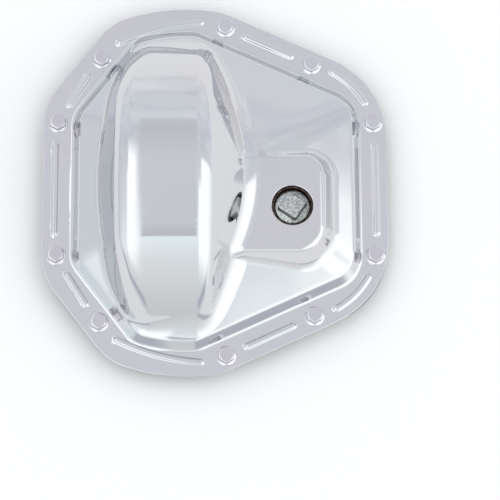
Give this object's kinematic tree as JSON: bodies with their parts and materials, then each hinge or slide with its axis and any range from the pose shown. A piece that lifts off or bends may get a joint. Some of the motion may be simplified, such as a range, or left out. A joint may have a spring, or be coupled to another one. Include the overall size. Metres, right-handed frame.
{
  "type": "differential cover",
  "caption": "Pressed sheet steel cover for a rear axle differential, with a ridge over the ring gear, a square-headed fill plug, gasket and flange bolts.",
  "frame": {"origin": "centre of the bolt pattern's straight sides on the gasket's lower face, which lies on the axle housing", "axes": "+Z out of the axle housing, the way the cover bulges; X along the axle, +X on the fill plug's side; Y across it"},
  "size_m": [0.294, 0.3294, 0.1001],
  "materials": {
    "chrome_shell": "polished chrome plate",
    "gasket_fibre": "matt blue-grey fibre",
    "bung_steel": "turned steel",
    "plug_iron": "dark cast, top ground smooth",
    "bolt_chrome": "polished chrome plate"
  },
  "bodies": {
    "root": {"cover_shell": "chrome_shell", "gasket": "gasket_fibre", "plug_bung": "bung_steel", "fill_plug": "plug_iron", "cover_bolt_01": "bolt_chrome", "cover_bolt_02": "bolt_chrome", "cover_bolt_03": "bolt_chrome", "cover_bolt_04": "bolt_chrome", "cover_bolt_05": "bolt_chrome", "cover_bolt_06": "bolt_chrome", "cover_bolt_07": "bolt_chrome", "cover_bolt_08": "bolt_chrome", "cover_bolt_09": "bolt_chrome", "cover_bolt_10": "bolt_chrome"}
  },
  "joints": []
}
